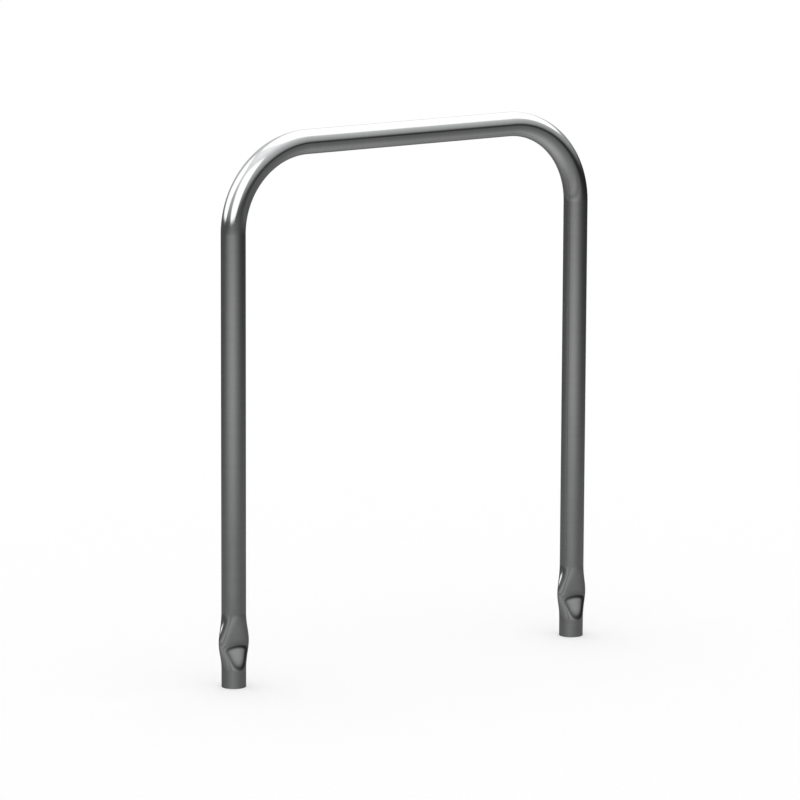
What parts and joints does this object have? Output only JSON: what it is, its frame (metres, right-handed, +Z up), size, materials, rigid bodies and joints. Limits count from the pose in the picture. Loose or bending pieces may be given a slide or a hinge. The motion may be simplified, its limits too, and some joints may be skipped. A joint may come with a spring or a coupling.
{
  "type": "hoop bike rack",
  "caption": "Inverted-U hoop of bent round stainless tube with pinched roots, set into the ground for leaning and locking bicycles.",
  "frame": {"origin": "midway between the two legs, on the plane of the feet", "axes": "+X along the hoop from the left leg to the right leg, +Y square to the hoop and away from the viewer, +Z up"},
  "size_m": [0.922, 0.0508, 1.14],
  "materials": {
    "stainless_tube": "fine satin polish"
  },
  "bodies": {
    "root": {"top_rail": "stainless_tube", "left_bend": "stainless_tube", "right_bend": "stainless_tube", "left_leg": "stainless_tube", "right_leg": "stainless_tube", "left_root": "stainless_tube", "right_root": "stainless_tube"}
  },
  "joints": []
}
